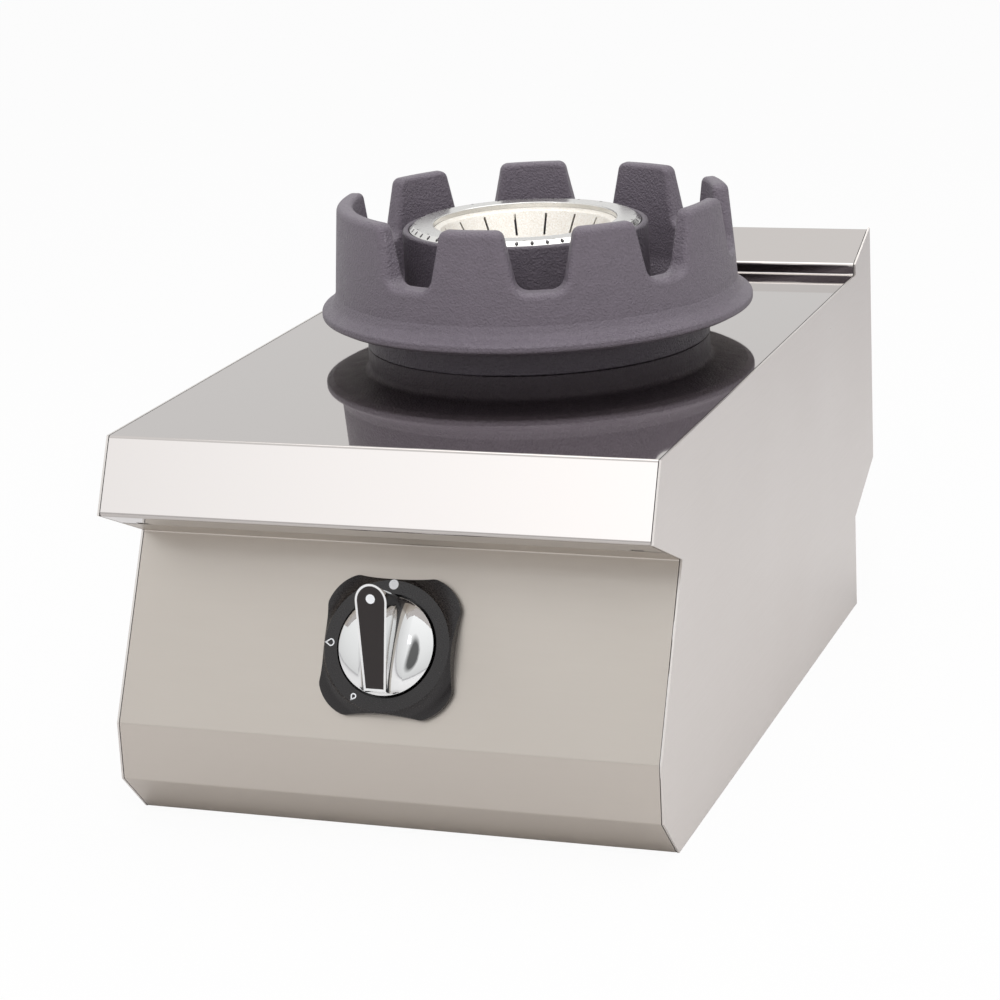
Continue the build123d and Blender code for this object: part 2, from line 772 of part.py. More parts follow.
def pilot_bracket():
    """Plate between the burner's wall and the pilot, with a hole for each sensor."""
    middle = (PILOT_AT + THERMO_AT) / 2
    plate = Pos(BODY_R + 9, 0, 0) * Box(26, 34, 2)
    plate = Pos(BURNER_X, BURNER_Y, 246) * Rot(0, 0, middle) * plate
    plate -= rod(DECK, BODY_R, BODY_FOOT, 0)
    return plate - rod(round_burner(PILOT_AT, 246), 4.0, -3, 3) - rod(round_burner(THERMO_AT, 246), 3.0, -3, 3)


def pilot_burner():
    """Small brass burner with a hood that turns the flame towards the ports."""
    plane = round_burner(PILOT_AT, 0)
    body = turned(
        plane,
        [(0, 236), (4, 236), (4, 247), (5.5, 247), (5.5, 256), (4, 258), (4, 302), (6, 304), (6, 316), (0, 316)],
        {(6, 316): 1.5},
    )
    mouth = block(2, 8, -3, 3, 307, 313)
    return body - Pos(plane.origin.X, plane.origin.Y, 0) * Rot(0, 0, PILOT_AT + 180) * mouth


def thermocouple():
    plane = round_burner(THERMO_AT, 0)
    points = [(0, 226), (3, 226), (3, 247), (4.5, 247), (4.5, 252), (2.5, 254), (2.5, 316), (0, 318.5)]
    return turned(plane, points)


def pilot_pipe():
    top = round_burner(PILOT_AT, 236).origin
    end = Vector(*tap_point(-20, PILOT_PORT_DEPTH))
    run_x = end.X - 24
    points = [
        top,
        (top.X, top.Y, 187),
        (top.X, -190, 187),
        (run_x, -190, 187),
        (run_x, -190, end.Z),
        (run_x, end.Y, end.Z),
        end,
    ]
    return pipe(points, 3.0, 10.0)


def thermocouple_lead():
    top = round_burner(THERMO_AT, 226).origin
    points = [
        top,
        (top.X, top.Y, 194),
        (top.X, -168, 194),
        (0, -168, 150),
        tap_point(0, 118),
        tap_point(0, 62),
    ]
    return pipe(points, 1.5, 12.0)


# ---- knob ----


def bezel_outline():
    """Rounded square whose sides are drawn in to a waist."""
    face = RectangleRounded(2 * BEZEL_HALF, 2 * BEZEL_HALF, 30)
    bow = 170.0
    for turn in range(4):
        face -= Rot(0, 0, 90 * turn) * Pos(BEZEL_WAIST + bow, 0) * Circle(bow)
    return fillet(face.vertices().filter_by(lambda v: hypot(v.X, v.Y) > BEZEL_WAIST), 9)


def knob_bezel():
    """Black escutcheon: low corners that sweep up to a round collar, with the dial's well."""
    block_up = extrude(bezel_outline(), COLLAR_TOP + 2)
    crown = make_face(
        Polyline((0, 0), (72, 0), (72, 3.2)) + Spline((72, 3.2), (56, 4.4), (47.5, 7.8), (COLLAR_R, COLLAR_TOP))
        + Polyline((COLLAR_R, COLLAR_TOP), (0, COLLAR_TOP), (0, 0))
    )
    shape = block_up & revolve(Plane.XZ * crown, Axis.Z)
    shape -= Pos(0, 0, COLLAR_TOP) * Cylinder(COLLAR_BORE_R, 2 * (COLLAR_TOP - 2))
    return KNOB * (shape - Cylinder(13.5, 10))


BAR_TOP_Y = 24.2
BAR_FOOT_Y = -33.0
BAR_TOP_HALF = 11.5
BAR_FOOT_HALF = 8.0
BAR_HIGH = 53.5
BAR_LOW = 22.0
INSERT_EDGE = 1.6
INSERT_THICK = 1.4


def bar_outline(edge=0.0):
    """Outline of the grip: a round upper end, tapering to a square foot."""
    top, foot = BAR_TOP_HALF - edge, BAR_FOOT_HALF - edge
    low = BAR_FOOT_Y + edge
    points = Polyline((-top, BAR_TOP_Y), (-foot, low), (foot, low), (top, BAR_TOP_Y))
    return make_face(points + ThreePointArc((top, BAR_TOP_Y), (0, BAR_TOP_Y + top), (-top, BAR_TOP_Y)))


def bar_slab(z_from, z_to):
    """The space between two heights over the grip's sloping face."""
    far = 120.0
    face_from = (BAR_FOOT_Y, BAR_LOW)
    face_to = (BAR_TOP_Y + BAR_TOP_HALF, BAR_HIGH)
    low, high = along(face_from, face_to, -far), along(face_to, face_from, -far)
    points = [(low[0], low[1] + z_from), (high[0], high[1] + z_from)]
    points += [(high[0], high[1] + z_to), (low[0], low[1] + z_to)]
    return extrude(Plane.YZ * make_face(Polyline(*points, close=True)), 60, both=True)


def knob_body():
    """Chrome dial with a wedge-shaped grip, bored for the spindle."""
    rim = [(0, DIAL_CROWN), (0, DIAL_UNDER), (DIAL_R, DIAL_UNDER), (DIAL_R, DIAL_RIM)]
    dome = Spline((DIAL_R, DIAL_RIM), (0, DIAL_CROWN), tangents=[(-1, 0.75), (-1, 0)])
    dial = revolve(Plane.XZ * make_face(Polyline(*rim) + dome), Axis.Z)
    grip = extrude(Pos(0, 0, DIAL_UNDER) * bar_outline(), BAR_HIGH) - bar_slab(0, 200)
    grip -= extrude(bar_outline(INSERT_EDGE), 80) & bar_slab(-INSERT_THICK, 1)
    shape = dial + grip
    shape -= Pos(0, 0, DIAL_UNDER) * Cylinder(SPINDLE_R, 2 * 18)
    flat = Pos(0, SPINDLE_R + 1, 19) * Box(20, 4, 16)
    return KNOB * (shape + (flat & Pos(0, 0, 17) * Cylinder(SPINDLE_R + 0.5, 18)))


def knob_insert():
    """Black inlay that fills the grip's recess."""
    return KNOB * (extrude(bar_outline(INSERT_EDGE), 80) & bar_slab(-INSERT_THICK, 0.3))


# ---- fasteners ----


def rear_screws():
    """Screws that hold the rear panel to the flanges of the side panels."""
    return Compound([pan_screw(plane, SCREW_R, 6) for plane in REAR_SCREWS])


PIECES = {
    "worktop": worktop,
    "side_panel_left": lambda: side_panel(-1),
    "side_panel_right": lambda: side_panel(1),
    "control_panel": control_panel,
    "rear_panel": rear_panel,
    "base_rail_left": lambda: base_rail(-1),
    "base_rail_right": lambda: base_rail(1),
    "front_crossmember": lambda: crossmember(CROSSMEMBERS_Y[0]),
    "rear_crossmember": lambda: crossmember(CROSSMEMBERS_Y[1]),
    "burner_bracket_front": lambda: burner_bracket(BURNER_Y - BRACKET_Y),
    "burner_bracket_rear": lambda: burner_bracket(BURNER_Y + BRACKET_Y),
    "heat_shield": heat_shield,
    "burner_bolts": burner_bolts,
    "burner_body": burner_body,
    "burner_ring": burner_ring,
    "burner_cone": burner_cone,
    "wok_ring": wok_ring,
    "gas_tap": gas_tap,
    "tap_push_rod": tap_push_rod,
    "tap_spindle": tap_spindle,
    "tap_nut": tap_nut,
    "burner_pipe": burner_pipe,
    "supply_pipe": supply_pipe,
    "gas_inlet": gas_inlet,
    "pipe_nuts": pipe_nuts,
    "pipe_clips": pipe_clips,
    "injector_holder": injector_holder,
    "injector": injector,
    "mixing_tube": mixing_tube,
    "air_shutter": air_shutter,
    "pilot_bracket": pilot_bracket,
    "pilot_burner": pilot_burner,
    "thermocouple": thermocouple,
    "pilot_pipe": pilot_pipe,
    "thermocouple_lead": thermocouple_lead,
    "knob_bezel": knob_bezel,
    "knob_body": knob_body,
    "knob_insert": knob_insert,
    "rear_screws": rear_screws,
}

os.makedirs("parts", exist_ok=True)
for piece_name, make_piece in PIECES.items():
    save(piece_name, make_piece())
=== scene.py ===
"""Looks of a countertop gas wok range: finishes for its metal parts, the marks on its dial,
the hollow flare beside its knob's grip, the thread of its gas inlet, and a plain studio."""

import json
from math import atan2, cos, hypot, pi, radians, sin, sqrt

import bpy
from mathutils import Matrix, Vector


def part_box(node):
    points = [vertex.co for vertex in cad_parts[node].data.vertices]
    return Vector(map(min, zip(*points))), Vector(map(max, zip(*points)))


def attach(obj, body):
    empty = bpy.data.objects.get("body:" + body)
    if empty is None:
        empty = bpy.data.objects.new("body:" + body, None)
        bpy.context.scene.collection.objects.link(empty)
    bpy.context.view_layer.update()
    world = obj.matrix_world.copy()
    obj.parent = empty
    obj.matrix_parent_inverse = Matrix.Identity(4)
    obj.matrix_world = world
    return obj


bl_info = {
    "name": "Wok range",
    "version": (1, 0, 0),
    "blender": (4, 5, 0),
    "location": "3D View > Sidebar > Wok range",
    "description": "Finishes and small surface pieces of a countertop gas wok range",
    "category": "Object",
}

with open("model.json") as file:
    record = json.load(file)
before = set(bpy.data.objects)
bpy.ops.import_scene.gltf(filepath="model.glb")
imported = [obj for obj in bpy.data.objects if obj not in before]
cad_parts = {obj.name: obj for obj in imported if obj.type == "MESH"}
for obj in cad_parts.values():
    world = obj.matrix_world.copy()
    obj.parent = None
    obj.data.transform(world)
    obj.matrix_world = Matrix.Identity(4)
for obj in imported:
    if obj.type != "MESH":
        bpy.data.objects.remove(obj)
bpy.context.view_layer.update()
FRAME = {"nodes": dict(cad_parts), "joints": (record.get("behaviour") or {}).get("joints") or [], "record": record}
MM = 0.001


def linear(hex_colour, alpha=1.0):
    """An sRGB hex colour as the linear colour that Blender's nodes take."""
    values = [int(hex_colour[i : i + 2], 16) / 255 for i in (1, 3, 5)]
    values = [v / 12.92 if v <= 0.04045 else ((v + 0.055) / 1.055) ** 2.4 for v in values]
    return (*values, alpha)


# Where the knob's dial stands: its centre on the control panel, up the slope, and outwards.
KNOB_JOINT = next(j for j in FRAME["joints"] if j["name"] == "knob_turn")
DIAL_CENTRE = Vector(KNOB_JOINT["pos_m"])
DIAL_OUT = Vector(KNOB_JOINT["axis"]).normalized()
DIAL_UP = DIAL_OUT.cross(Vector((1, 0, 0))).normalized()
COLLAR_HEIGHT = 10.0 * MM
SUNK = 0.02 * MM  # how deep a printed mark stands in what carries it

# The marks on the collar, in mm from the dial's centre.
OFF_DOT_RIGHT, OFF_DOT_UP = 0.3, 42.6
FLAMES_REACH = 41.2
FLAME_LINE = 0.85

# The knob's grip on its dial, in mm from the dial's centre: where it starts and turns round, half
# its width there, and the height of its sloping face at both ends.
GRIP_FOOT_AT, GRIP_ROUND_AT = -33.0, 24.2
GRIP_FOOT_HALF, GRIP_TOP_HALF = 8.0, 11.5
GRIP_FOOT_HIGH, GRIP_TOP_HIGH = 22.0, 53.5
INLAY_PROUD = 0.3
POINTER_SHARE = 0.86  # where the pointer dot stands between the grip's foot and its upper end
DIAL_EDGE = 34.3

# The flare beside the grip, in mm. Its seen edges start a hair inside the metal, and its hidden
# corner lies deeper.
FLARE_END_AT = 32.4
FLARE_WIDE = 9.5
FLARE_RISE_FOOT, FLARE_RISE_ROUND = 8.0, 17.0
FLARE_SKIN = 0.05
FLARE_EDGE_DIP = 0.3
FLARE_BURIED = 0.6

BURNER_CENTRE = sum(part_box("burner_ring"), Vector()) / 2
BRIM_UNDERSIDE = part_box("wok_ring")[0].z + 27 * MM


# ---- settings that a user would change ----


class WokRangeFinish(bpy.types.PropertyGroup):
    """Colours and roughness of the range's finishes"""

    polished: bpy.props.FloatVectorProperty(
        name="Polished steel",
        description="Reflection colour of the worktop's polished stainless steel",
        subtype="COLOR",
        size=4,
        default=linear("#c6c1be"),
    )
    front: bpy.props.FloatVectorProperty(
        name="Front steel",
        description="Reflection colour of the control panel's satin stainless steel",
        subtype="COLOR",
        size=4,
        default=linear("#c9c2ba"),
    )
    side: bpy.props.FloatVectorProperty(
        name="Side steel",
        description="Reflection colour of the side panels' satin stainless steel",
        subtype="COLOR",
        size=4,
        default=linear("#dcd7d3"),
    )
    iron: bpy.props.FloatVectorProperty(
        name="Coated iron",
        description="Colour of the heat-proof coat on the iron castings",
        subtype="COLOR",
        size=4,
        default=linear("#736b74"),
    )
    grain: bpy.props.FloatProperty(
        name="Casting grain",
        description="Width of one lump of the casting's sandy skin",
        unit="LENGTH",
        default=1.7 * MM,
        min=0.5 * MM,
        max=8 * MM,
    )


class WokRangeMarks(bpy.types.PropertyGroup):
    """Sizes of the marks printed on the dial and the thread of the gas inlet"""

    dot: bpy.props.FloatProperty(
        name="Dot",
        description="Diameter of the white dot at the dial's off position",
        unit="LENGTH",
        default=7.0 * MM,
        min=1 * MM,
        max=20 * MM,
    )
    knob_dot: bpy.props.FloatProperty(
        name="Pointer dot",
        description="Diameter of the white dot on the knob's inlay",
        unit="LENGTH",
        default=6.6 * MM,
        min=1 * MM,
        max=20 * MM,
    )
    flame: bpy.props.FloatProperty(
        name="Flame mark",
        description="Length of the larger flame mark",
        unit="LENGTH",
        default=7.2 * MM,
        min=1 * MM,
        max=20 * MM,
    )
    film: bpy.props.FloatProperty(
        name="Film",
        description="Thickness of the printed marks",
        unit="LENGTH",
        default=0.15 * MM,
        min=0.05 * MM,
        max=1 * MM,
    )
    pitch: bpy.props.FloatProperty(
        name="Thread pitch",
        description="Distance between the crests of the gas inlet's thread",
        unit="LENGTH",
        default=1.8 * MM,
        min=0.5 * MM,
        max=4 * MM,
    )


# ---- materials ----


def new_material(name):
    material = bpy.data.materials.new(name)
    material.use_nodes = True
    tree = material.node_tree
    tree.nodes.clear()
    shader = add(tree, "ShaderNodeBsdfPrincipled")
    output = add(tree, "ShaderNodeOutputMaterial", {"Surface": shader.outputs["BSDF"]})
    return material, tree, shader, output


def add(tree, kind, inputs=None, **settings):
    """Adds a node. Each input is a value or another node's output."""
    node = tree.nodes.new(kind)
    for key, value in settings.items():
        setattr(node, key, value)
    for key, value in (inputs or {}).items():
        if isinstance(value, bpy.types.NodeSocket):
            tree.links.new(value, node.inputs[key])
        else:
            node.inputs[key].default_value = value
    return node


def set_values(shader, values):
    for key, value in values.items():
        shader.inputs[key].default_value = value


def set_bump(tree, shader, height, strength, distance):
    bump = add(
        tree,
        "ShaderNodeBump",
        {"Height": height, "Strength": strength, "Distance": distance},
    )
    tree.links.new(bump.outputs["Normal"], shader.inputs["Normal"])


def set_roughness(tree, shader, pattern, low, high):
    """Spreads the range that a noise mostly keeps to, 0.25 to 0.75, over two roughness values."""
    spread = add(
        tree,
        "ShaderNodeMapRange",
        {"Value": pattern, "From Min": 0.25, "From Max": 0.75, "To Min": low, "To Max": high},
    )
    tree.links.new(spread.outputs["Result"], shader.inputs["Roughness"])


def brushed(name, colour, rough, grain, strokes, bump=0.04):
    """Rolled sheet with fine strokes: grain gives the stroke's size in mm along X, Y and Z."""
    material, tree, shader, _ = new_material(name)
    set_values(shader, {"Base Color": colour, "Metallic": 1.0})
    place = add(tree, "ShaderNodeTexCoord")
    stretch = add(
        tree,
        "ShaderNodeMapping",
        {"Vector": place.outputs["Object"], "Scale": [1 / (size * MM) for size in grain]},
    )
    lines = add(
        tree,
        "ShaderNodeTexNoise",
        {"Vector": stretch.outputs["Vector"], "Scale": 1.0, "Detail": 3.0, "Roughness": 0.6},
    )
    # Broad uneven rolling, a hand's width across, which keeps large flat sheets from looking dead.
    broad = add(
        tree,
        "ShaderNodeTexNoise",
        {"Vector": place.outputs["Object"], "Scale": 1 / (111 * MM), "Detail": 1.0},
    )
    mixed = add(
        tree,
        "ShaderNodeMix",
        {"Factor": strokes, "A": broad.outputs["Fac"], "B": lines.outputs["Fac"]},
    )
    set_roughness(tree, shader, mixed.outputs["Result"], *rough)
    if bump:
        set_bump(tree, shader, lines.outputs["Fac"], bump, 0.05 * MM)
    return material


def satin_steel_across(finish):
    """Stainless sheet, ground with a fine belt across the front. Soft, slightly warm reflections."""
    return brushed("satin_steel_across", finish.front, (0.36, 0.46), (40, 0.9, 0.9), 0.6)


def satin_steel_along(finish):
    """The same sheet on the sides, ground from front to rear."""
    return brushed("satin_steel_along", finish.side, (0.26, 0.40), (0.9, 40, 0.9), 0.6)


def polished_steel(finish):
    """Stainless sheet with a bright rolled finish: the deck mirrors the wok ring."""
    return brushed("polished_steel", finish.polished, (0.02, 0.045), (0.9, 60, 0.9), 0.5, bump=0.006)


def galvanised_steel(finish):
    """Hot-dipped steel: a dull grey coat with pale crystals about 8 mm across."""
    material, tree, shader, _ = new_material("galvanised_steel")
    set_values(shader, {"Metallic": 1.0})
    place = add(tree, "ShaderNodeTexCoord")
    crystals = add(
        tree,
        "ShaderNodeTexVoronoi",
        {"Vector": place.outputs["Object"], "Scale": 1 / (8 * MM)},
    )
    tint = add(tree, "ShaderNodeValToRGB", {"Fac": crystals.outputs["Color"]})
    tint.color_ramp.elements[0].color = linear("#9c9fa0")
    tint.color_ramp.elements[1].color = linear("#bcbebd")
    tree.links.new(tint.outputs["Color"], shader.inputs["Base Color"])
    set_roughness(tree, shader, crystals.outputs["Color"], 0.38, 0.52)
    return material


def coated_iron(finish, name="coated_iron", shade=1.0):
    """Sand-cast iron under a matt heat-proof coat: an orange-peel skin with larger soft waves, and painted shade
    below the brim. A shade under 1 darkens all of it, as painted shade.
    """
    material, tree, shader, _ = new_material(name)
    set_values(shader, {"Specular IOR Level": 0.5})
    place = add(tree, "ShaderNodeTexCoord")
    lumps = add(
        tree,
        "ShaderNodeTexNoise",
        {"Vector": place.outputs["Object"], "Scale": 1 / finish.grain, "Detail": 2.5, "Roughness": 0.55},
    )
    waves = add(
        tree,
        "ShaderNodeTexNoise",
        {"Vector": place.outputs["Object"], "Scale": 1 / (9 * MM), "Detail": 2.0},
    )
    skin = add(
        tree,
        "ShaderNodeMix",
        {"Factor": 0.35, "A": lumps.outputs["Fac"], "B": waves.outputs["Fac"]},
    )
    # The coat is thinner and paler on the crests of the casting's skin.
    r, g, b = (value * shade for value in finish.iron[:3])
    tint = add(tree, "ShaderNodeValToRGB", {"Fac": skin.outputs["Result"]})
    tint.color_ramp.elements[0].position = 0.3
    tint.color_ramp.elements[0].color = (r * 0.9, g * 0.9, b * 0.9, 1)
    tint.color_ramp.elements[1].position = 0.7
    tint.color_ramp.elements[1].color = (r * 1.1, g * 1.1, b * 1.1, 1)
    # Painted shade: what stands below the brim is mixed towards near black, for the shadow under the brim.
    level = add(tree, "ShaderNodeSeparateXYZ", {"Vector": place.outputs["Object"]})
    unshaded_share = add(
        tree,
        "ShaderNodeMapRange",
        {
            "Value": level.outputs["Z"],
            "From Min": BRIM_UNDERSIDE - 6 * MM,
            "From Max": BRIM_UNDERSIDE,
            "To Min": 0.62,
            "To Max": 1.0,
        },
    )
    painted_brim_shade = add(
        tree,
        "ShaderNodeMix",
        {"Factor": unshaded_share.outputs["Result"], "A": linear("#161416"), "B": tint.outputs["Color"]},
        data_type="RGBA",
    )
    tree.links.new(painted_brim_shade.outputs["Result"], shader.inputs["Base Color"])
    set_roughness(tree, shader, waves.outputs["Fac"], 0.34, 0.48)
    set_bump(tree, shader, skin.outputs["Result"], 1.0, 1.9 * MM)
    return material


def recess_shaded_iron(finish):
    """The same casting, darker all over: painted shade for the burner body's wall deep inside the ring."""
    return coated_iron(finish, "recess_shaded_iron", 0.75)


def turned_aluminium(finish):
    """Aluminium faced on a lathe: bright, with fine circular tool marks about the burner's axis."""
    material, tree, shader, _ = new_material("turned_aluminium")
    set_values(shader, {"Base Color": linear("#e6e5e2"), "Metallic": 1.0})
    place = add(tree, "ShaderNodeTexCoord")
    centred = add(
        tree,
        "ShaderNodeMapping",
        {"Vector": place.outputs["Object"], "Location": -BURNER_CENTRE},
    )
    rings = add(
        tree,
        "ShaderNodeTexWave",
        {
            "Vector": centred.outputs["Vector"],
            "Scale": 1 / (pi * 1.1 * MM),
            "Distortion": 1.2,
            "Detail": 2.0,
        },
        wave_type="RINGS",
        rings_direction="Z",
    )
    set_roughness(tree, shader, rings.outputs["Fac"], 0.16, 0.26)
    set_bump(tree, shader, rings.outputs["Fac"], 0.03, 0.02 * MM)
    return material


def sand_cast_alloy(finish):
    """Pale alloy as it comes out of the sand mould: creamy and coarse, with a broad soft sheen."""
    material, tree, shader, _ = new_material("sand_cast_alloy")
    set_values(shader, {"Metallic": 0.8})
    place = add(tree, "ShaderNodeTexCoord")
    grit = add(
        tree,
        "ShaderNodeTexNoise",
        {"Vector": place.outputs["Object"], "Scale": 1 / (1.2 * MM), "Detail": 4.0, "Roughness": 0.7},
    )
    tint = add(tree, "ShaderNodeValToRGB", {"Fac": grit.outputs["Fac"]})
    tint.color_ramp.elements[0].position = 0.3
    tint.color_ramp.elements[0].color = linear("#e6ddce")
    tint.color_ramp.elements[1].position = 0.65
    tint.color_ramp.elements[1].color = linear("#fffdf8")
    tree.links.new(tint.outputs["Color"], shader.inputs["Base Color"])
    set_roughness(tree, shader, grit.outputs["Fac"], 0.36, 0.55)
    set_bump(tree, shader, grit.outputs["Fac"], 0.6, 0.5 * MM)
    return material


def machined(name, colour, rough, wear_colour):
    """A turned or drawn fitting whose surface has dulled in patches about 12 mm across."""
    material, tree, shader, _ = new_material(name)
    set_values(shader, {"Metallic": 1.0})
    place = add(tree, "ShaderNodeTexCoord")
    patches = add(
        tree,
        "ShaderNodeTexNoise",
        {"Vector": place.outputs["Object"], "Scale": 1 / (12 * MM), "Detail": 4.0},
    )
    tint = add(tree, "ShaderNodeValToRGB", {"Fac": patches.outputs["Fac"]})
    tint.color_ramp.elements[0].position = 0.35
    tint.color_ramp.elements[0].color = linear(wear_colour)
    tint.color_ramp.elements[1].position = 0.6
    tint.color_ramp.elements[1].color = linear(colour)
    tree.links.new(tint.outputs["Color"], shader.inputs["Base Color"])
    set_roughness(tree, shader, patches.outputs["Fac"], *rough)
    return material


def machined_brass(finish):
    """Brass fitting, turned: warm yellow, a little tarnished."""
    return machined("machined_brass", "#d0ab62", (0.38, 0.24), "#b3894a")


def zinc_plate(finish):
    """Bright zinc plate on steel: cool grey with a faint cloudiness."""
    return machined("zinc_plate", "#c6c8c8", (0.34, 0.22), "#aeb1b3")


def drawn_steel_tube(finish):
    """Aluminised steel tube: pale grey, dull."""
    return machined("drawn_steel_tube", "#b6b7b6", (0.46, 0.34), "#a2a3a2")


def drawn_copper(finish):
    """Small copper tube: orange-brown, browned by heat."""
    return machined("drawn_copper", "#cf8a63", (0.42, 0.26), "#a5684a")


def chrome_plate(finish):
    """Chrome on a die-cast knob: a near-perfect mirror with a very soft ripple."""
    material, tree, shader, _ = new_material("chrome_plate")
    set_values(shader, {"Base Color": linear("#eceded"), "Metallic": 1.0})
    place = add(tree, "ShaderNodeTexCoord")
    ripple = add(
        tree,
        "ShaderNodeTexNoise",
        {"Vector": place.outputs["Object"], "Scale": 1 / (14 * MM), "Detail": 1.0},
    )
    set_roughness(tree, shader, ripple.outputs["Fac"], 0.03, 0.06)
    return material


def moulded_nylon(finish):
    """Glass-filled nylon, moulded against a fine spark-eroded texture: near black with a soft sheen."""
    material, tree, shader, _ = new_material("moulded_nylon")
    set_values(shader, {"Base Color": linear("#120d0e"), "Specular IOR Level": 0.55})
    place = add(tree, "ShaderNodeTexCoord")
    texture = add(
        tree,
        "ShaderNodeTexNoise",
        {"Vector": place.outputs["Object"], "Scale": 1 / (0.8 * MM), "Detail": 2.0},
    )
    set_roughness(tree, shader, texture.outputs["Fac"], 0.22, 0.32)
    set_bump(tree, shader, texture.outputs["Fac"], 0.12, 0.1 * MM)
    return material


def black_inlay(finish):
    """Thin plastic strip let into the knob: smooth dark brown-black."""
    material, tree, shader, _ = new_material("black_inlay")
    set_values(shader, {"Base Color": linear("#1f1817"), "Specular IOR Level": 0.45})
    place = add(tree, "ShaderNodeTexCoord")
    haze = add(
        tree,
        "ShaderNodeTexNoise",
        {"Vector": place.outputs["Object"], "Scale": 1 / (6 * MM), "Detail": 2.0},
    )
    set_roughness(tree, shader, haze.outputs["Fac"], 0.32, 0.40)
    return material


def white_print(name="white_print"):
    """Pad-printed white ink: matt, with slightly uneven cover."""
    material, tree, shader, _ = new_material(name)
    set_values(shader, {"Roughness": 0.5})
    place = add(tree, "ShaderNodeTexCoord")
    cover = add(
        tree,
        "ShaderNodeTexNoise",
        {"Vector": place.outputs["Object"], "Scale": 1 / (1.5 * MM), "Detail": 2.0},
    )
    tint = add(tree, "ShaderNodeValToRGB", {"Fac": cover.outputs["Fac"]})
    tint.color_ramp.elements[0].color = linear("#e4e8ea")
    tint.color_ramp.elements[1].color = linear("#fbfcfc")
    tree.links.new(tint.outputs["Color"], shader.inputs["Base Color"])
    return material


FINISH_OF_SLOT = {
    "polished_steel": polished_steel,
    "satin_steel": satin_steel_across,
    "galvanised_steel": galvanised_steel,
    "iron": coated_iron,
    "burner_aluminium": turned_aluminium,
    "cone_metal": sand_cast_alloy,
    "brass_fitting": machined_brass,
    "zinc_steel": zinc_plate,
    "pipe_steel": drawn_steel_tube,
    "copper": drawn_copper,
    "knob_chrome": chrome_plate,
    "black_plastic": moulded_nylon,
    "black_inlay": black_inlay,
}
FINISH_OF_NODE = {  # parts that differ from the rest of their slot
    "side_panel_left": satin_steel_along,
    "side_panel_right": satin_steel_along,
    # the burner body's darker iron is painted shade inside the ring
    "burner_body": recess_shaded_iron,
}


# ---- modelling helpers ----


def start_edit(primitive, **where):
    """Adds one primitive with nothing else selected, and opens it for editing."""
    bpy.ops.object.select_all(action="DESELECT")
    primitive(**where)
    bpy.ops.object.mode_set(mode="EDIT")
    return bpy.context.object


def end_edit(obj, name, material, body):
    """Closes the piece, gives it its name and finish, and lets it ride on its body."""
    bpy.ops.mesh.select_all(action="SELECT")
    bpy.ops.mesh.normals_make_consistent(inside=False)
    bpy.ops.object.mode_set(mode="OBJECT")
    obj.name = obj.data.name = name
    obj.data.materials.append(material)
    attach(obj, body)
    return obj


def on_dial(x, y, height, turn=0.0, tilt=0.0):
    """The place of a mark: x to the right and y up the dial's slope, in mm, standing on a height."""
    right = Vector((1, 0, 0))
    place = DIAL_CENTRE + right * x * MM + DIAL_UP * y * MM + DIAL_OUT * height
    frame = Matrix((right, DIAL_UP, DIAL_OUT)).transposed().to_4x4()
    return Matrix.Translation(place) @ frame @ Matrix.Rotation(tilt, 4, "X") @ Matrix.Rotation(turn, 4, "Z")


def settle(obj, matrix):
    """Moves a mesh made at the origin to its place, and keeps the object itself at the origin."""
    obj.data.transform(matrix)
    obj.matrix_world = Matrix.Identity(4)
    obj.data.update()


def print_dot(diameter, film):
    """A round dot: a disc, thickened and with a softened rim."""
    obj = start_edit(
        bpy.ops.mesh.primitive_circle_add, vertices=48, radius=diameter / 2, fill_type="NGON"
    )
    bpy.ops.mesh.select_all(action="SELECT")
    bpy.ops.mesh.extrude_region_move(TRANSFORM_OT_translate={"value": (0, 0, film)})
    bpy.ops.mesh.bevel(offset=film * 0.3, segments=2)
    return obj


def print_flame(length, line, film):
    """An outlined flame, its tip along +Y: a disc drawn out to a point, inset, and thickened."""
    radius = length * 0.38
    narrowed, drawn_out, hollow = 0.85, 0.64, 1.6
    obj = start_edit(bpy.ops.mesh.primitive_circle_add, vertices=48, radius=radius, fill_type="NGON")
    bpy.ops.object.mode_set(mode="OBJECT")
    for vertex in obj.data.vertices:
        if vertex.co.y > 0:
            share = vertex.co.y / radius
            vertex.co.x *= 1 - narrowed * share**hollow
            vertex.co.y *= 1 + drawn_out * share
    bpy.ops.object.mode_set(mode="EDIT")
    bpy.ops.mesh.select_mode(type="FACE")
    bpy.ops.mesh.select_all(action="SELECT")
    bpy.ops.mesh.inset(thickness=line)
    bpy.ops.mesh.delete(type="FACE")
    bpy.ops.mesh.select_all(action="SELECT")
    bpy.ops.mesh.extrude_region_move(TRANSFORM_OT_translate={"value": (0, 0, film)})
    return obj


def grip_half_width(y):
    """Half the grip's width at a place along it, in mm: tapered below, and round at its upper end."""
    if y > GRIP_ROUND_AT:
        return sqrt(GRIP_TOP_HALF**2 - (y - GRIP_ROUND_AT) ** 2)
    share = (y - GRIP_FOOT_AT) / (GRIP_ROUND_AT - GRIP_FOOT_AT)
    return GRIP_FOOT_HALF + (GRIP_TOP_HALF - GRIP_FOOT_HALF) * share


def dome_height(radius):
    """How high the dial's dome stands at a radius, in mm, found on the knob's own surface."""
    above_grip = DIAL_OUT * 60 * MM
    start = DIAL_CENTRE + Vector((radius * MM, 0, 0)) + above_grip
    found, place, _, _ = FRAME["nodes"]["knob_body"].ray_cast(start, -DIAL_OUT)
    return (place - DIAL_CENTRE).dot(DIAL_OUT) / MM


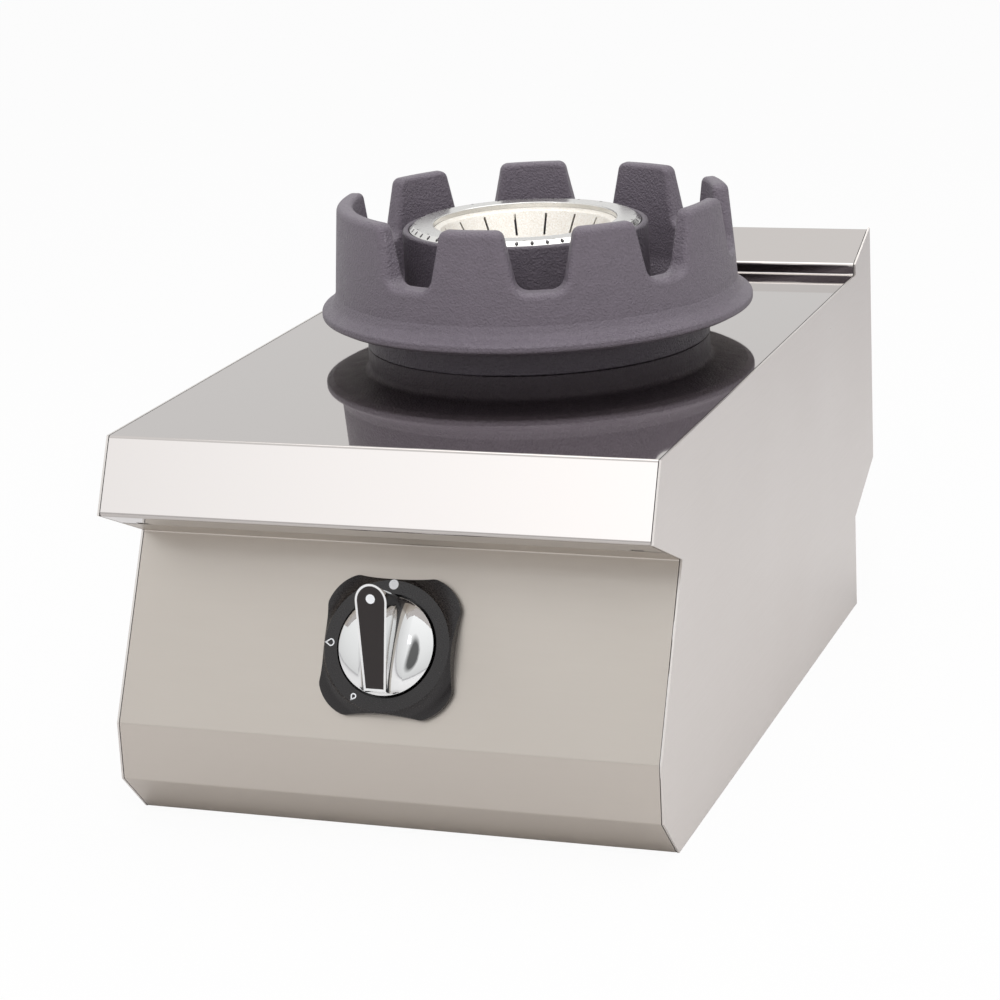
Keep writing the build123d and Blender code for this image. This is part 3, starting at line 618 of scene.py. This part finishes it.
def sweep_flank(side, corners=12, slices=44):
    """A closed bar of many slices, each shaped into the hollow between the grip's flank and the dome."""
    obj = start_edit(bpy.ops.mesh.primitive_circle_add, vertices=corners, radius=1, fill_type="NGON")
    bpy.ops.mesh.select_all(action="SELECT")
    for _ in range(slices - 1):
        bpy.ops.mesh.extrude_region_move(TRANSFORM_OT_translate={"value": (0, 0, 1)})
    bpy.ops.object.mode_set(mode="OBJECT")
    first = GRIP_FOOT_AT + 0.2
    beside_grip = GRIP_TOP_HALF + 0.5  # nearer in, the grip stands over the dome
    for vertex in obj.data.vertices:
        share = round(vertex.co.z) / (slices - 1)
        corner = round(atan2(vertex.co.y, vertex.co.x) / (2 * pi / corners)) % corners
        y = first + (FLARE_END_AT - first) * share
        flank = grip_half_width(y)
        if corner == corners - 1:
            x = flank - FLARE_BURIED
            lift = -FLARE_BURIED
        else:
            # The other corners lie on a quarter of an oval, from up the flank to out on the dome.
            turn = radians(90) * corner / (corners - 2)
            rise = FLARE_RISE_FOOT + (FLARE_RISE_ROUND - FLARE_RISE_FOOT) * share
            x = flank - FLARE_SKIN + FLARE_WIDE * (1 - cos(turn))
            lift = rise * (1 - sin(turn)) - FLARE_SKIN - FLARE_EDGE_DIP * corner / corners
        x = min(x, sqrt(DIAL_EDGE**2 - y**2))
        height = dome_height(max(hypot(x, y), beside_grip)) + lift
        vertex.co = Vector((side * x, y, height)) * MM
    bpy.ops.object.mode_set(mode="EDIT")
    return obj


# ---- pieces ----


class WOKRANGE_OT_finishes(bpy.types.Operator):
    """Gives every metal and plastic part of the range its finish"""

    bl_idname = "wokrange.finishes"
    bl_label = "Finishes"

    def execute(self, context):
        finish = context.scene.wok_range_finish
        made = {slot: make(finish) for slot, make in FINISH_OF_SLOT.items()}
        special = {make: make(finish) for make in set(FINISH_OF_NODE.values())}
        for part in FRAME["record"]["subparts"]:
            obj = FRAME["nodes"][part["node"]]
            material = special.get(FINISH_OF_NODE.get(part["node"]), made[part["material_slot"]])
            obj.data.materials.clear()
            obj.data.materials.append(material)
        return {"FINISHED"}


class WOKRANGE_OT_dial_marks(bpy.types.Operator):
    """Prints the off dot, the large flame and the small flame on the dial's collar"""

    bl_idname = "wokrange.dial_marks"
    bl_label = "Dial marks"

    def execute(self, context):
        marks = context.scene.wok_range_marks
        ink = white_print()
        foot = COLLAR_HEIGHT - SUNK
        dot = print_dot(marks.dot, marks.film)
        end_edit(dot, "dial_dot", ink, "casing")
        settle(dot, on_dial(OFF_DOT_RIGHT, OFF_DOT_UP, foot))
        for name, scale, angle in (("flame_large", 1.0, radians(90)), ("flame_small", 0.78, radians(151))):
            flame = print_flame(marks.flame * scale, FLAME_LINE * MM, marks.film)
            end_edit(flame, name, ink, "casing")
            settle(flame, on_dial(-FLAMES_REACH * sin(angle), FLAMES_REACH * cos(angle), foot, turn=angle))
        return {"FINISHED"}


class WOKRANGE_OT_knob_dot(bpy.types.Operator):
    """Prints the white dot on the knob's inlay"""

    bl_idname = "wokrange.knob_dot"
    bl_label = "Pointer dot"

    def execute(self, context):
        marks = context.scene.wok_range_marks
        obj = print_dot(marks.knob_dot, marks.film)
        end_edit(obj, "knob_dot", white_print("white_print_knob"), "knob")
        low = Vector((0, GRIP_FOOT_AT, GRIP_FOOT_HIGH))
        high = Vector((0, GRIP_ROUND_AT + GRIP_TOP_HALF, GRIP_TOP_HIGH))
        spot = low.lerp(high, POINTER_SHARE)
        tilt = (high - low).angle(Vector((0, 1, 0)))
        settle(obj, on_dial(0, spot.y, (spot.z + INLAY_PROUD) * MM - SUNK, tilt=tilt))
        return {"FINISHED"}


class WOKRANGE_OT_grip_flare(bpy.types.Operator):
    """Sweeps both flanks of the knob's grip out into the dial with a hollow curve"""

    bl_idname = "wokrange.grip_flare"
    bl_label = "Grip flare"

    def execute(self, context):
        chrome = FRAME["nodes"]["knob_body"].data.materials[0]
        for name, side in (("grip_flare_right", 1), ("grip_flare_left", -1)):
            flare = sweep_flank(side)
            end_edit(flare, name, chrome, "knob")
            bpy.ops.object.shade_smooth_by_angle(angle=radians(35))
            settle(flare, on_dial(0, 0, 0))
        return {"FINISHED"}


class WOKRANGE_OT_inlet_thread(bpy.types.Operator):
    """Cuts the thread of the gas inlet: one ridge wound along its pipe"""

    bl_idname = "wokrange.inlet_thread"
    bl_label = "Inlet thread"

    def execute(self, context):
        pitch = context.scene.wok_range_marks.pitch
        inlet = next(m for m in FRAME["record"]["mounts"] if m["name"] == "gas_inlet")
        centre_x, _, centre_z = inlet["pos_m"]
        radius = inlet["dims"]["r_mm"] * MM
        mouth_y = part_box("gas_inlet")[1].y
        start_y, end_y = mouth_y - 22 * MM, mouth_y - 1.5 * MM
        crest, root, half = radius + 0.075 * MM, radius - 0.46 * MM, 0.42 * pitch
        obj = start_edit(bpy.ops.mesh.primitive_circle_add, vertices=3, radius=half)
        bpy.ops.object.mode_set(mode="OBJECT")
        # The ridge's section lies in the plane through the axis: X outwards and Y along the pipe.
        for vertex, corner in zip(obj.data.vertices, ((crest, 0, 0), (root, half, 0), (root, -half, 0))):
            vertex.co = corner
        screw = obj.modifiers.new("wind", "SCREW")
        screw.axis = "Y"
        screw.screw_offset = pitch
        screw.iterations = int((end_y - start_y) / pitch)
        screw.steps = screw.render_steps = 40
        screw.use_merge_vertices = False
        bpy.ops.object.modifier_apply(modifier="wind")
        bpy.ops.object.mode_set(mode="EDIT")
        # Both ends of the wound ridge are open triangles, which are filled to close it.
        bpy.ops.mesh.select_mode(type="EDGE")
        bpy.ops.mesh.select_all(action="DESELECT")
        bpy.ops.mesh.select_non_manifold()
        bpy.ops.mesh.fill()
        brass = FRAME["nodes"]["gas_inlet"].data.materials[0]
        end_edit(obj, "inlet_thread", brass, "casing")
        settle(obj, Matrix.Translation((centre_x, start_y, centre_z)))
        return {"FINISHED"}


# ---- stage ----

# The camera's place and lens, found from the corners of the casing and the circles of the ring.
CAMERA_AT = (0.73607, -2.07660, 0.79515)
CAMERA_YAW = 20.0644
CAMERA_PITCH = -16.1794
CAMERA_ROLL = -2.9504
CAMERA_LENS = 106.762


def camera_matrix():
    yaw, pitch, roll = (radians(v) for v in (CAMERA_YAW, CAMERA_PITCH, CAMERA_ROLL))
    forward = Vector((-sin(yaw) * cos(pitch), cos(yaw) * cos(pitch), sin(pitch)))
    right = Vector((cos(yaw), sin(yaw), 0))
    up = right.cross(forward)
    x_axis = cos(roll) * right + sin(roll) * up
    y_axis = -sin(roll) * right + cos(roll) * up
    turned = Matrix((x_axis, y_axis, -forward)).transposed().to_4x4()
    return Matrix.Translation(CAMERA_AT) @ turned


def seen_directly(tree):
    """1 for rays from the camera, mirrors and glass, and 0 for those that carry light."""
    path = add(tree, "ShaderNodeLightPath")
    first = add(
        tree,
        "ShaderNodeMath",
        {0: path.outputs["Is Camera Ray"], 1: path.outputs["Is Glossy Ray"]},
        operation="MAXIMUM",
    )
    both = add(
        tree,
        "ShaderNodeMath",
        {0: first.outputs["Value"], 1: path.outputs["Is Transmission Ray"]},
        operation="MAXIMUM",
    )
    # Light that a mirror throws on to a matt surface counts as light, not as a view.
    first_hand = add(
        tree,
        "ShaderNodeMath",
        {0: path.outputs["Diffuse Depth"], 1: 0.5},
        operation="LESS_THAN",
    )
    seen = add(
        tree,
        "ShaderNodeMath",
        {0: both.outputs["Value"], 1: first_hand.outputs["Value"]},
        operation="MULTIPLY",
    )
    return seen.outputs["Value"]


def floor_material():
    """White paper sweep: it shows white, and keeps part of the object's shadow."""
    material, tree, shader, output = new_material("paper_sweep")
    set_values(shader, {"Base Color": linear("#f4f3f1"), "Roughness": 0.9})
    glow = add(tree, "ShaderNodeEmission", {"Color": (1, 1, 1, 1), "Strength": 1.0})
    path = add(tree, "ShaderNodeLightPath")
    share = add(
        tree,
        "ShaderNodeMath",
        {0: path.outputs["Is Camera Ray"], 1: 0.94},
        operation="MULTIPLY",
    )
    mix = add(
        tree,
        "ShaderNodeMixShader",
        {0: share.outputs["Value"], 1: shader.outputs["BSDF"], 2: glow.outputs["Emission"]},
    )
    tree.links.new(mix.outputs["Shader"], output.inputs["Surface"])
    return material


def soft_box(name, at, towards, size, energy, colour="#ffffff"):
    light = bpy.data.lights.new(name, "AREA")
    light.shape = "RECTANGLE"
    light.size, light.size_y = size
    light.energy = energy
    light.color = linear(colour)[:3]
    lamp = bpy.data.objects.new(name, light)
    bpy.context.scene.collection.objects.link(lamp)
    lamp.location = at
    lamp.rotation_euler = (Vector(towards) - Vector(at)).to_track_quat("-Z", "Y").to_euler()
    return lamp


def grade(lamp, left, right):
    """Makes a soft box brighter towards one of its ends, as a box with its tube off centre is."""
    lamp.data.use_nodes = True
    tree = lamp.data.node_tree
    tree.nodes.clear()
    lamp_face = add(tree, "ShaderNodeNewGeometry")
    across = add(tree, "ShaderNodeSeparateXYZ", {"Vector": lamp_face.outputs["Parametric"]})
    level = add(tree, "ShaderNodeMapRange", {"Value": across.outputs["X"], "To Min": left, "To Max": right})
    cloth = add(tree, "ShaderNodeEmission", {"Strength": level.outputs["Result"]})
    add(tree, "ShaderNodeOutputLight", {"Surface": cloth.outputs["Emission"]})


def studio_world():
    """A white room. The camera and mirrors see it bright, and matt surfaces get a softer light."""
    world = bpy.data.worlds.new("studio")
    world.use_nodes = True
    tree = world.node_tree
    tree.nodes.clear()
    # The white room is a little dimmer near the horizon, as the steel's reflections show.
    place = add(tree, "ShaderNodeTexCoord")
    height = add(tree, "ShaderNodeSeparateXYZ", {"Vector": place.outputs["Generated"]})
    room = add(
        tree,
        "ShaderNodeMapRange",
        {"Value": height.outputs["Z"], "To Min": 0.74, "To Max": 1.12},
    )
    # A dark upright oval in the front of the room and its like in the rear, soft at their edges. The
    # chrome dial mirrors the front one.
    centre, width, tall = Vector((0.12, 0, 0.42)), 0.17, 0.26
    oval = add(
        tree,
        "ShaderNodeMapping",
        {
            "Vector": place.outputs["Generated"],
            "Location": (-centre.x / width, 0, -centre.z / tall),
            "Scale": (1 / width, 0, 1 / tall),
        },
    )
    away = add(tree, "ShaderNodeVectorMath", {0: oval.outputs["Vector"]}, operation="LENGTH")
    dim = add(
        tree,
        "ShaderNodeMapRange",
        {"Value": away.outputs["Value"], "From Min": 0.7, "From Max": 1.1, "To Min": 0.15},
    )
    dimmed = add(
        tree,
        "ShaderNodeMath",
        {0: room.outputs["Result"], 1: dim.outputs["Result"]},
        operation="MULTIPLY",
    )
    is_camera = add(tree, "ShaderNodeLightPath").outputs["Is Camera Ray"]
    level = add(
        tree,
        "ShaderNodeMix",
        {"Factor": is_camera, "A": dimmed.outputs["Value"], "B": 1.0},
    )
    white = add(
        tree,
        "ShaderNodeBackground",
        {"Color": (1, 1, 1, 1), "Strength": level.outputs["Result"]},
    )
    fill = add(tree, "ShaderNodeBackground", {"Color": linear("#fbfaff"), "Strength": 0.56})
    mix = add(
        tree,
        "ShaderNodeMixShader",
        {0: seen_directly(tree), 1: fill.outputs[0], 2: white.outputs[0]},
    )
    add(tree, "ShaderNodeOutputWorld", {"Surface": mix.outputs[0]})
    return world


class WOKRANGE_OT_stage(bpy.types.Operator):
    """Sets up the floor, the soft lights, the world and the camera"""

    bl_idname = "wokrange.stage"
    bl_label = "Stage"

    def execute(self, context):
        scene = context.scene
        bpy.ops.object.select_all(action="DESELECT")
        bpy.ops.mesh.primitive_plane_add(size=60, location=(0, 0, -0.0002))
        floor = context.object
        floor.name = "floor"
        floor.data.materials.append(floor_material())

        scene.world = studio_world()

        # A narrow strip box in front, high enough for the polished nose to mirror all of it.
        strip_at, strip_aim = (-0.58, -1.50, 1.085), (-0.58, -0.31, 0.25)
        strip = soft_box("front_strip", strip_at, strip_aim, (1.2, 0.17), 0.48, "#f7fbff")
        grade(strip, 0.57, 1.43)
        soft_box("top", (0.2, 0.3, 2.2), (0, 0, 0.3), (2.0, 2.0), 16)
        front = soft_box("front", (0.5, -2.0, 2.1), (0, 0, 0.3), (0.9, 0.9), 25)
        front.visible_glossy = False

        camera = bpy.data.objects.new("camera", bpy.data.cameras.new("camera"))
        scene.collection.objects.link(camera)
        camera.matrix_world = camera_matrix()
        camera.data.lens = CAMERA_LENS
        camera.data.sensor_width = 36
        camera.data.clip_end = 50
        scene.camera = camera
        scene.view_settings.view_transform = "Standard"
        return {"FINISHED"}


class WOKRANGE_PT_panel(bpy.types.Panel):
    """Lists the range's settings and pieces"""

    bl_label = "Wok range"
    bl_idname = "WOKRANGE_PT_panel"
    bl_space_type = "VIEW_3D"
    bl_region_type = "UI"
    bl_category = "Wok range"

    def draw(self, context):
        for group in (context.scene.wok_range_finish, context.scene.wok_range_marks):
            box = self.layout.box()
            for name in group.bl_rna.properties.keys():
                if name not in ("rna_type", "name"):
                    box.prop(group, name)
        for operator in PIECES:
            self.layout.operator(operator.bl_idname)


PIECES = (
    WOKRANGE_OT_finishes,
    WOKRANGE_OT_dial_marks,
    WOKRANGE_OT_knob_dot,
    WOKRANGE_OT_grip_flare,
    WOKRANGE_OT_inlet_thread,
    WOKRANGE_OT_stage,
)
CLASSES = (WokRangeFinish, WokRangeMarks, *PIECES, WOKRANGE_PT_panel)


def register():
    for cls in CLASSES:
        bpy.utils.register_class(cls)
    bpy.types.Scene.wok_range_finish = bpy.props.PointerProperty(type=WokRangeFinish)
    bpy.types.Scene.wok_range_marks = bpy.props.PointerProperty(type=WokRangeMarks)


def unregister():
    del bpy.types.Scene.wok_range_marks
    del bpy.types.Scene.wok_range_finish
    for cls in reversed(CLASSES):
        bpy.utils.unregister_class(cls)


def main():
    register()
    bpy.ops.wokrange.finishes()
    bpy.ops.wokrange.dial_marks()
    bpy.ops.wokrange.knob_dot()
    bpy.ops.wokrange.grip_flare()
    bpy.ops.wokrange.inlet_thread()
    bpy.ops.wokrange.stage()


if __name__ == "__main__":
    main()
